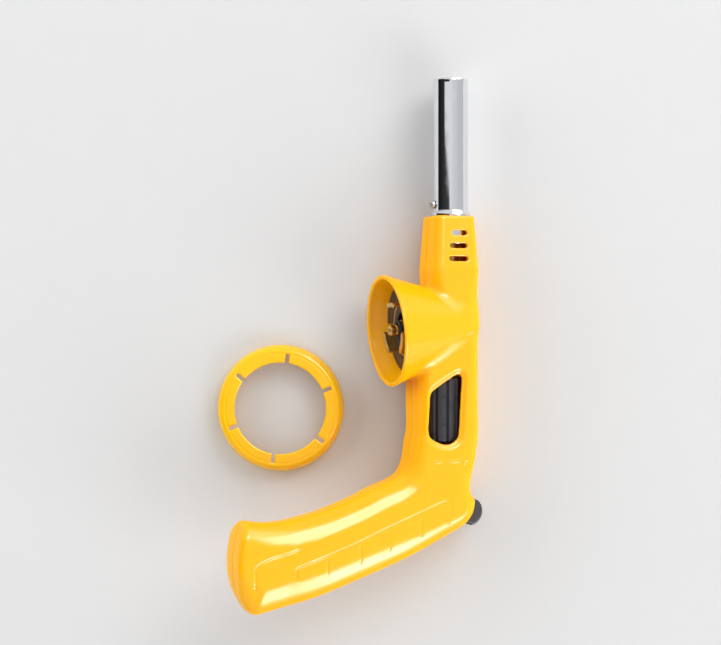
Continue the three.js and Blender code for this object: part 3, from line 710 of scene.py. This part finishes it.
def shell_maps():
    """Grids over x and y that both halves share."""
    x, y = [grid_axis(SHELL_LOW[k], SHELL_HIGH[k], SHELL_STEP) for k in range(2)]
    x, y = x[:, None], y[None, :]
    # chamfer width, from the values below the handle's middle line to those above it
    middle = interpolate(-x, [0, 30, 60, 90, 115], [-92, -99, -110.5, -119, -120])
    above = interpolate(-x, [8, 24, 33, 60, 85, 105, 116],
                        [7.5, 10.2, 11.2, 11.5, 11.6, 9.6, 8.0])
    below = interpolate(-x, [0, 33, 70, 90, 105, 116], [6.6, 10.5, 11.8, 12.8, 12, 10])
    # the outer groove fades out towards its upper end
    outer_groove = line_distance(OUTER_GROOVE, x, y) + 0.6 * smooth_step(-86, -79, x)
    groove = nearest([outer_groove] + [line_distance(line, x, y) for line in GROOVES])
    mark = nearest([line_distance(line, x, y) - width for line, width in MARK_STROKES]
                   + [polygon_distance(MARK_WEDGE, x, y)])
    groove_depth, mark_height = 0.36, 0.26
    return {
        "edge": polygon_distance(OUTLINE, x, y),
        "window": polygon_distance(WINDOW, x, y),
        "chamfer": below + (above - below) * smooth_step(-7, 7, y - middle),
        "receiver": smooth_step(-84, -70, y) * smooth_step(34, 24, -x),     # 1 on the receiver
        "face": FACE - 1.7 * smooth_step(60, 116, -x),
        "end": (-115.35 + 0.0094 * (y + 118.5) ** 2) - x,                   # the handle's end
        "relief": groove_depth * (1 - smooth_step(0.08, 0.7, groove))
        - mark_height * (1 - smooth_step(-0.1, 0.45, mark)),
        "vents": nearest(
            distance(np.maximum(np.abs(x - at_x) - (length / 2 - VENT_RADIUS), 0), y - at_y)
            - VENT_RADIUS for at_x, at_y, length in VENTS),
        "screws": nearest(distance(x - at_x, y - at_y) for at_x, at_y in SCREWS),
    }


def socket_radius(depth, at_mouth=SOCKET_RADIUS):
    return at_mouth - SOCKET_SLOPE * depth


def socket_place(x, y, z):
    """Depth into the socket and distance from its axis."""
    dx, dy = x - SOCKET_MOUTH[0], y - SOCKET_MOUTH[1]
    return (dx * SOCKET_COS + dy * SOCKET_SIN,
            distance(-dx * SOCKET_SIN + dy * SOCKET_COS, z))


def handle_field(z, level, maps):
    """Handle and receiver. The handle has a flat face, a chamfer to a crease, a round edge."""
    chamfer = ((level - maps.face) * math.cos(CHAMFER_TILT)
               + (maps.edge + maps.chamfer) * math.sin(CHAMFER_TILT))
    handle = round_max(round_max(chamfer, maps.edge, 6.5), level - maps.face, 0.5)
    radius = np.where(z > 0, 6.5, 7.6)
    receiver = round_corner(maps.edge + radius, level - (maps.face - radius), radius)
    return round_max(handle + (receiver - handle) * maps.receiver, maps.end, 3.2)


def neck_field(x, y, level):
    """Rounded square that widens downwards."""
    half_width = interpolate(y, [-2, 12, 26.5, 54], [13.4, 13.2, 12.8, 10.9])
    corner = interpolate(y, [1, 12, 26, 54], [12.5, 9.0, 5.4, 4.6])
    neck = round_corner(np.abs(x + 1) - (half_width - corner), level - (half_width - corner),
                        corner)
    neck = round_max(neck, y - 54, 1.0)
    return round_max(neck, -4 - y, 7.0)


def skin_field(x, y, z, depth, radius, maps):
    """Outside of the closed moulding."""
    level = np.abs(z)
    cone = round_max((radius - socket_radius(depth)) * CONE_SCALE, depth - 48.2, 8.0)
    cone = round_max(cone, -depth, 0.7)
    # rounded bulge behind the socket
    bulge = (np.sqrt(((x - 2) / 12.6) ** 2 + ((y - 2.5) / 17.5) ** 2 + (z / 11.5) ** 2) - 1) * 11
    skin = smooth_min(handle_field(z, level, maps), neck_field(x, y, level), 4.6)
    skin = smooth_min(skin, bulge, 3.0)
    skin = round_max(skin, level - 14.6, 0.6)           # the blends stay behind the flat faces
    return smooth_min(skin, cone, 3.4 - 2.0 * smooth_step(1, 9, -z))


def hollow_field(skin, level, depth, radius, maps):
    """Walls with the dished window edge, the relief, the socket's ledge and the screw bosses."""
    dish = 1.25 * (1 - smooth_step(0.4, 3.5, maps.window))
    outside = np.where(maps.window < 3.6, np.maximum(skin, level - (maps.face - dish)), skin)
    outside = outside + maps.relief * smooth_step(6, 8, level)
    solid = cut(outside, skin + WALL, 0.5)
    cup = np.maximum((radius - socket_radius(depth, at_mouth=26.2)) * CONE_SCALE,
                     depth - LEDGE_DEPTH)
    solid = cut(solid, cup, 0.5)
    ledge = np.maximum(within(depth, LEDGE_DEPTH, 16.8), within(radius, 14, 30))
    solid = np.minimum(solid, np.maximum(ledge, skin + 0.4))
    return np.minimum(solid, np.maximum(maps.screws - 4.2, skin + 0.6))


def button_opening(x, y, level):
    dx, dy = x - BUTTON_AT[0], y - BUTTON_AT[1]
    inward = dx * BUTTON_IN[0] + dy * BUTTON_IN[1]
    across = -dx * BUTTON_IN[1] + dy * BUTTON_IN[0]
    opening = round_corner(np.abs(across) - 5.3, level - 5.2, 1.3)
    return np.maximum(opening, within(inward, -8, 16.6))


def shell_field(side):
    """Field of one half: side is 1 for the front one on +z and -1 for the rear one."""
    def field(x, y, z, **maps):
        maps = SimpleNamespace(**maps)
        level = np.abs(z)
        depth, radius = socket_place(x, y, z)
        skin = skin_field(x, y, z, depth, radius, maps)
        solid = hollow_field(skin, level, depth, radius, maps)
        solid = cut(solid, np.maximum(maps.window, 4 - level), 0.7)
        solid = cut(solid, np.maximum(maps.vents, 5 - level), 0.6)
        solid = cut(solid, button_opening(x, y, level), 0.6)
        tube = np.maximum(distance(x, z) - 9.3, 38 - y)
        solid = cut(solid, tube, 0.4)
        drum_room = np.maximum(distance(x - DRUM_X, z) - 11.65, within(y, -61.1, -26.9))
        solid = cut(solid, drum_room, 0.3)
        if side < 0:
            seat = np.where(y > NECK_SCREW_FROM, NECK_SEAT, FACE)
            solid = cut(solid, np.maximum(maps.screws - 3.05, seat - 2.6 - level), 0.3)
        return smooth_max(solid, 0.08 - side * z, 0.22)     # parting face
    return field


def build_shells():
    maps = shell_maps()
    for name, node, side, bottom, top in (
            ("front_shell", "shell_front", 1, -SHELL_STEP, SHELL_DEPTH),
            ("rear_shell", "shell_back", -1, -SHELL_DEPTH, SHELL_STEP)):
        add_part(name, node, "yellow_plastic",
                 *grid_mesh(shell_field(side), (*SHELL_LOW, bottom), (*SHELL_HIGH, top),
                            SHELL_STEP, torch_to_scene, maps))


# ---- thumb drum ----
# (radius, y): journal, drum, end ring, bore
DRUM_PROFILE = [
    (0, -66), (2.7, -66), (3.0, -65.7), (3.0, -60.6), (10.2, -60.5), (10.9, -60.2),
    (11.25, -59.4), (11.3, -58.2), (11.3, -52), (11.3, -44), (11.3, -36), (11.3, -29.8),
    (11.25, -28.6), (10.9, -27.8), (10.2, -27.5), (9.2, -27.5), (8.9, -28.1), (5.2, -28.1),
    (4.9, -27.5), (3.0, -27.5), (2.6, -28), (2.6, -47.4), (0, -47.4)]
FLUTES = 12
FLUTE_DEPTH = 1.0


def flute_drum(verts):
    radius = np.hypot(verts[:, 0], verts[:, 1])
    turn = np.arctan2(verts[:, 1], verts[:, 0]) / (2 * math.pi)
    # 0 at a flute, 1 between flutes
    phase = np.abs(np.mod(turn * FLUTES + 0.5, 1.0) - 0.5) * 2
    depth = FLUTE_DEPTH * (1 - smooth_step(0.0, 0.34, phase)) * smooth_step(7.5, 10.6, radius)
    result = verts.copy()
    result[:, :2] *= (1 - depth / np.maximum(radius, 1e-6))[:, None]
    return result


def build_drum():
    add_part("thumb_drum", "flow_knob", "black_plastic",
             *turned_mesh(DRUM_PROFILE, 288, axis_frame((DRUM_X, 0, 0), Y_AXIS), rounding=0.25,
                          reshape=flute_drum), body="knob")


# ---- igniter button and its spring ----
def button_field(x, y, z):
    """x across, y along the torch's z, z the depth from the crown."""
    crown_x, crown_z, crown_radius = 0.5, 8.0, 7.9
    half_width, half_height, corner = 6.3, 6.2, 1.2
    angle = np.arctan2(x - crown_x, crown_z - z)
    ridges = 0.5 * (0.5 - 0.5 * np.cos(angle * 36)) * (np.abs(angle) < 1.22)
    crown = distance(x - crown_x, z - crown_z) - crown_radius + ridges
    block = round_corner(np.abs(x - 0.4) - (half_width - 0.7),
                         np.abs(y) - (half_height - corner), corner)
    block = np.where(z > 4.5, np.maximum(block, np.abs(x) - half_width), block)
    solid = smooth_max(block, np.where(z < crown_z, crown, -5), 0.9)
    return np.maximum(solid, z - 10)


def build_button():
    add_part("igniter_button", "piezo_button", "black_plastic",
             *grid_mesh(button_field, *square_box(7.2, -1, 11), SMALL_STEP, BUTTON_FRAME),
             body="button")


def build_spring():
    turns, coil_radius, wire_radius = 4, 4.4, 0.4
    start, end = 10.9, 16.1         # depth from the button's crown
    steps = turns * 36
    stations = []
    for i in range(steps + 1):
        angle = 2 * math.pi * turns * i / steps
        t = i / steps
        t = t * t * (3 - 2 * t) * 0.35 + t * 0.65       # coils closer at both ends
        outward = BUTTON_ACROSS * math.cos(angle) + Z_AXIS * math.sin(angle)
        centre = BUTTON_ORIGIN + BUTTON_IN * (start + (end - start) * t) + outward * coil_radius
        stations.append((centre, outward, BUTTON_IN, wire_radius))
    return add_part("return_spring", "button_spring", "steel", *swept_mesh(stations, 10),
                    body="button")


# ---- cartridge connection: third axis is the depth into the socket ----
def collar_field(x, y, z):
    radius = distance(x, y)
    outer = socket_radius(z) - WALL * 1.06 - 0.45
    solid = smooth_max(np.maximum((radius - outer) * CONE_SCALE, 8.6 - radius),
                       within(z, 9.2, 14.5), 0.6)
    # the hooks stand in a ring slot that opens out over their flange
    slot = np.minimum(np.maximum(within(radius, 12.7, 14.25), z - 11.4),
                      np.maximum(within(radius, 12.7, 16.45), within(z, 10.0, 11.4)))
    solid = cut(solid, slot, 0.15)
    keyway = np.maximum(np.abs(x) - 2.8, within(y, -23.5, -14.5))
    return cut(solid, keyway, 0.4)


def claw_field(x, y, z):
    radius = distance(x, y)
    inner, outer = 12.9, 14
    bottom, top = 3.2, 11.2
    wall = np.maximum(within(radius, inner, outer), within(z, bottom, top))
    hook = np.maximum(within(radius, 11.8, outer), within(z, bottom, 4.4))
    flange = np.maximum(within(radius, inner, 16.2), within(z, 10.2, top))
    solid = smooth_min(smooth_min(wall, hook, 0.5), flange, 0.6)
    solid = smooth_max(solid, bottom - z, 0.5)
    for degrees in (30, 150, 270):
        cos, sin = math.cos(math.radians(degrees)), math.sin(math.radians(degrees))
        gap = intersect(np.abs(x * cos - y * sin) - 7.6, -(x * sin + y * cos), z - 9.3)
        solid = cut(solid, gap, 0.4)
    return solid


STEM_PROFILE = [                    # (radius, depth)
    (0.8, 1.6), (2.1, 1.6), (2.6, 2.3), (2.6, 4.2), (2.35, 4.4), (2.35, 5.2), (2.6, 5.4),
    (2.6, 8.4), (4.9, 8.4), (4.9, 10.6), (5.7, 10.6), (5.7, 15.8), (2.8, 15.8), (2.8, 19.6),
    (0.8, 19.6)]


def build_connection():
    add_part("bayonet_collar", "socket_collar", "black_plastic",
             *grid_mesh(collar_field, *square_box(23.5, 8.9, 15.5), SMALL_STEP, SOCKET_FRAME))
    add_part("brass_claw", "cartridge_claw", "brass",
             *grid_mesh(claw_field, *square_box(17, 2.4, 12), SMALL_STEP * 0.85, SOCKET_FRAME))
    add_part("gas_inlet_stem", "inlet_stem", "brass",
             *turned_mesh(STEM_PROFILE, 64, SOCKET_FRAME, closed=True, rounding=0.25))
    seal_radius, seal_depth, cord_radius, cord_sides = 4.05, 7.1, 0.9, 20
    angles = [2 * math.pi * i / cord_sides for i in range(cord_sides)]
    cord = [(seal_radius + cord_radius * math.cos(a), seal_depth + cord_radius * math.sin(a))
            for a in angles]
    add_part("inlet_o_ring", "inlet_seal", "rubber",
             *turned_mesh(cord, 64, SOCKET_FRAME, closed=True, rounding=0.01))


# ---- burner: profiles are (radius, y) ----
TUBE_PROFILE = [
    (8.4, 40), (9.0, 40), (9.0, 121.9), (9.07, 122.6), (9.1, 123.2), (8.95, 123.75),
    (8.6, TUBE_END), (8.2, TUBE_END), (7.8, 123.7), (7.7, 123.2), (7.8, 122.3), (8.2, 121.8),
    (8.4, 121.4)]
FERRULE_PROFILE = [
    (9.15, 54.3), (10.3, 54.3), (10.3, 55.2), (10.15, 55.6), (9.7, 56.1), (9.55, 56.8),
    (9.35, 57.0), (9.15, 57.0)]
ELECTRODE_PATH = [
    (5.9, 46, 0), (5.9, 60, 0), (5.95, 78, 0), (6.2, 84, 0), (6.2, 92, 0), (5.5, 95.5, 0),
    (2.7, 97, 0)]


def head_field(x, y, z):
    """z runs along the tube."""
    radius = distance(x, y)
    bottom, top = 79, 92
    outer = interpolate(z, [bottom, 83.2, 83.4, 85.2, 90, top], [5.6, 5.6, 5.8, 8.1, 8.1, 4.8])
    solid = smooth_max(np.maximum(radius - outer, bottom - z), z - top, 0.4)
    bore = np.maximum(radius - 4.5, z - 87.6)
    solid = np.maximum(solid, -bore)
    solid = cut(solid, radius - 1.2, 0.3)               # centre hole
    holes, hole_circle = 8, 6.35
    for i in range(holes):
        a = i / holes * 2 * math.pi + 0.3927
        hole = distance(x - hole_circle * math.cos(a), y - hole_circle * math.sin(a)) - 0.7
        solid = cut(solid, hole, 0.3)
    return cut(solid, distance(x - 6.2, y) - 1.15, 0.3)     # passage for the electrode


def electrode_stations():
    path = [np.array(p) for p in spline(ELECTRODE_PATH, 8)]
    last = len(path) - 1
    for i, centre in enumerate(path):
        along = unit(path[min(i + 1, last)] - path[max(i - 1, 0)])
        yield centre, Z_AXIS, np.cross(along, Z_AXIS), 0.45 if i < last else 0.3


def build_burner():
    for name, node, profile, sides in (("chrome_tube", "burner_tube", TUBE_PROFILE, 200),
                                       ("neck_ferrule", "tube_ferrule", FERRULE_PROFILE, 160)):
        add_part(name, node, "chrome",
                 *turned_mesh(profile, sides, TUBE_FRAME, closed=True, rounding=0.12))
    add_part("flame_head", "burner_head", "steel",
             *grid_mesh(head_field, *square_box(9, 78, 93), HEAD_STEP, HEAD_FRAME))
    add_part("spark_electrode", "electrode_rod", "steel",
             *swept_mesh(list(electrode_stations()), 14))


# ---- screws ----
def screw_mesh(origin, direction, step, head_radius, head_height, shank_radius, length, recess,
               dome):
    """Domed cross-head screw; its z runs from the top of the head down the shank."""
    dome_radius = (head_radius * head_radius + dome * dome) / (2 * dome)
    slot, pitch, margin = 0.36, 0.9, 0.4

    def field(x, y, z):
        radius = distance(x, y)
        head = distance(radius, z - dome_radius) - dome_radius
        head = smooth_max(np.maximum(head, z - head_height), radius - head_radius, 0.4)
        phase = z * (2 * math.pi / pitch) - np.arctan2(y, x)
        shank = np.maximum(radius - shank_radius + 0.12 * (0.5 + 0.5 * np.cos(phase)),
                           within(z, head_height - 0.3, length))
        cross = np.minimum(np.maximum(np.abs(x) - slot, np.abs(y) - recess),
                           np.maximum(np.abs(y) - slot, np.abs(x) - recess))
        return cut(smooth_min(head, shank, 0.15), np.maximum(cross, z - 1.3 + 0.4 * radius), 0.15)
    return grid_mesh(field, *square_box(head_radius + margin, -0.5, length + margin), step,
                     axis_frame(origin, direction))


def build_screws():
    for i, (x, y) in enumerate(SCREWS, start=1):
        seat = NECK_SEAT if y > NECK_SCREW_FROM else FACE
        add_part(f"case_screw_{i}", f"shell_screw_{i}", "steel",
                 *screw_mesh((x, y, -seat + 0.7), Z_AXIS, SCREW_STEP, head_radius=2.6,
                             head_height=1.6, shank_radius=1.3, length=9.0, recess=1.55,
                             dome=0.9))
    add_part("tube_clamp_screw", "tube_screw", "steel",
             *screw_mesh((-11.5, 60, 0), X_AXIS, SCREW_STEP * 0.85, head_radius=2.2,
                         head_height=2.2, shank_radius=1.0, length=6.3, recess=1.4, dome=1.2))


# ---- loose centring ring ----
def ring_field(x, y, z):
    radius = distance(x, y)
    height = 10
    outer = interpolate(z, [0, 3.4, 8.4, height], [32.6, 32.5, 31.2, 30.2])
    body = round_max(radius - outer, z - height, 1.5)
    body = round_max(body, -z, 0.5)
    solid = cut(body, np.maximum(radius - 28.9, z - 8.0), 0.6)      # hollow under the flange
    solid = smooth_max(solid, 23.5 - radius, 0.7)
    # shallow step line where the flange meets the shoulder
    solid = cut(solid, np.maximum(within(radius, 28.0, 28.7), 9.75 - z), 0.3)
    for i in range(6):
        cos, sin = math.cos(math.radians(22 + 60 * i)), math.sin(math.radians(22 + 60 * i))
        outward, across = x * cos + y * sin, -x * sin + y * cos
        slot = intersect(np.abs(across) - 1.0, within(outward, 20, 28.2), 7 - z)
        solid = cut(solid, slot, 0.3)
    return solid


def build_ring():
    add_part("centring_ring", "cartridge_ring", "yellow_plastic",
             *grid_mesh(ring_field, *square_box(33.6, -0.8, 11), RING_STEP, ring_to_scene),
             body="ring", finish="ring_plastic")


# ---- parts that keep their CAD solid ----
BEVELLED = ("valve_body", "gland_nut", "gas_jet", "needle_spindle", "piezo_body",
            "piezo_plunger", "mixing_pipe")
SMOOTHED = ("spindle_packing", "ignition_wire", "earth_wire", "electrode_insulator", "gas_jet",
            "gland_nut", "mixing_pipe", "needle_spindle", "valve_body")


def soften_cad_pieces():
    for name in BEVELLED:
        bevel = frame["nodes"][name].modifiers.new("edge", "BEVEL")
        bevel.width = 0.0002
        bevel.segments = 2
        bevel.limit_method = "ANGLE"
        bevel.angle_limit = math.radians(35)
    for name in SMOOTHED:
        piece = frame["nodes"][name]
        with bpy.context.temp_override(object=piece, active_object=piece,
                                       selected_objects=[piece],
                                       selected_editable_objects=[piece]):
            # guards against the operator refusing the overridden context
            try:
                bpy.ops.object.shade_smooth_by_angle(angle=math.radians(40))
            except Exception:
                pass


# ---- stage ----
def build_floor():
    half = 3
    mesh = bpy.data.meshes.new("floor")
    mesh.from_pydata([(-half, -half, 0), (half, -half, 0), (half, half, 0), (-half, half, 0)],
                     [], [(0, 1, 2, 3)])
    floor = bpy.data.objects.new("floor", mesh)
    bpy.context.scene.collection.objects.link(floor)
    floor.location.z = -0.0001
    mesh.materials.append(make_material(
        "floor", color=(0.63, 0.63, 0.63), roughness=0.7, mottle=0.01, roughness_spread=0.05,
        bump=0.05, specular=0.2))
    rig.stage(floor)


def build_world():
    """Soft grey surround with a dark band on the -x side."""
    world = bpy.data.worlds.new("soft")
    bpy.context.scene.world = world
    world.use_nodes = True
    shader = Shader(world.node_tree)
    background = shader.node("Background", {"Strength": 0.95})
    shader.node("OutputWorld", {0: background.outputs[0]})
    direction = shader.node("TexCoord", {}).outputs["Generated"]
    x, y, z = shader.node("SeparateXYZ", {0: direction}).outputs

    def fade(value, start, end, low, high):
        return shader.ramp(value, start, end, low, high, smooth=True)

    # angle from straight up towards -x; the band's upper edge shifts with y
    angle = shader.math("ARCTAN2", shader.math("MULTIPLY", x, -1.0), z)
    edge = shader.math("MULTIPLY_ADD", y, 17.0, -0.98)
    edge = shader.math("MINIMUM", shader.math("MAXIMUM", edge, 0.13), 0.70)
    upper = fade(shader.math("SUBTRACT", angle, edge), start=-0.06, end=0.08, low=0, high=1)
    lower = fade(angle, start=1.62, end=1.8, low=1, high=0)
    sides = fade(shader.math("ABSOLUTE", y), start=0.35, end=0.62, low=1, high=0)
    band = shader.math("MULTIPLY", shader.math("MULTIPLY", upper, lower), sides)
    # brightness falls off towards +x and a little below the horizon
    bright = shader.math("SUBTRACT", fade(x, start=-0.1, end=0.45, low=0.84, high=0.70),
                         fade(x, start=0.45, end=0.9, low=0.0, high=0.08))
    horizon = fade(z, start=-0.3, end=0.05, low=0.9, high=1.0)
    darkness = fade(angle, start=0.6, end=1.4, low=0.955, high=0.985)
    value = shader.math("MULTIPLY", shader.math("MULTIPLY", bright, horizon),
                        shader.math("SUBTRACT", 1.0, shader.math("MULTIPLY", band, darkness)))
    # slightly cool tint: red and green a little under blue
    color = shader.node("CombineColor", {0: shader.math("MULTIPLY", value, 0.985),
                                         1: shader.math("MULTIPLY", value, 0.99), 2: value})
    shader.fill(background, {"Color": color.outputs[0]})


def add_area_light(name, location, target, size_x, size_y, power, diffuse=True, glossy=True):
    light = bpy.data.lights.new(name, "AREA")
    light.shape = "RECTANGLE"
    light.size = size_x
    light.size_y = size_y
    light.energy = power
    lamp = bpy.data.objects.new(name, light)
    bpy.context.scene.collection.objects.link(lamp)
    lamp.location = location
    aim = Vector(target) - Vector(location)
    lamp.rotation_euler = aim.to_track_quat("-Z", "Y").to_euler()
    lamp.visible_diffuse = diffuse
    lamp.visible_glossy = glossy


def build_lights():
    add_area_light("box_a", location=(1.09, 1.38, 0.90), target=(0, 0, 0.03), size_x=1.36,
                   size_y=1.6, power=28)
    add_area_light("box_b", location=(1.28, -1.18, 0.74), target=(0, 0, 0.03), size_x=1.36,
                   size_y=1.36, power=23)
    # the gloss lights add no diffuse light, the fill adds no reflections
    add_area_light("gloss_a", location=(0.70, 0.87, 1.54), target=(-0.02, -0.06, 0.03),
                   size_x=0.80, size_y=0.62, power=28, diffuse=False)
    add_area_light("gloss_b", location=(1.25, -1.08, 0.92), target=(-0.02, -0.06, 0.03),
                   size_x=0.8, size_y=0.60, power=28, diffuse=False)
    add_area_light("left_fill", location=(-1.44, 0.40, 0.62), target=(0, -0.03, 0.02),
                   size_x=1.6, size_y=0.96, power=17, glossy=False)


def build_camera():
    """Camera a metre up; unrotated, so it looks straight down."""
    lens = bpy.data.cameras.new("camera")
    lens.sensor_width = 36.0
    lens.sensor_fit = "HORIZONTAL"
    lens.lens = 96.3661581
    lens.clip_start = 0.05
    lens.clip_end = 20
    camera = bpy.data.objects.new("camera", lens)
    camera.location = (0.005434, 0.010945, 1.0)
    scene = bpy.context.scene
    scene.collection.objects.link(camera)
    scene.camera = camera
    scene.view_settings.view_transform = "Standard"
    scene.view_settings.look = "None"


def squash_spring(spring):
    """The spring shortens towards the button's far end as the button goes in."""
    ends = torch_to_scene(np.array([np.zeros(3), BUTTON_IN * 1000.0]))
    press = unit(ends[1] - ends[0])
    anchor = torch_to_scene((BUTTON_ORIGIN + BUTTON_IN * 10.5)[None, :])[0]
    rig.squash(spring, "button_press", axis=tuple(press), anchor=tuple(anchor), keep=0.42)


dress_cad_pieces()
build_shells()
build_drum()
build_button()
return_spring = build_spring()
build_connection()
build_burner()
build_screws()
build_ring()
soften_cad_pieces()
build_floor()
build_world()
build_lights()
build_camera()
squash_spring(return_spring)

visual_bounds = [list(corner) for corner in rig.bounds()]
with open("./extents.json", "w") as size_file:
    json.dump({"cad": cad_bounds, "visual": visual_bounds}, size_file)
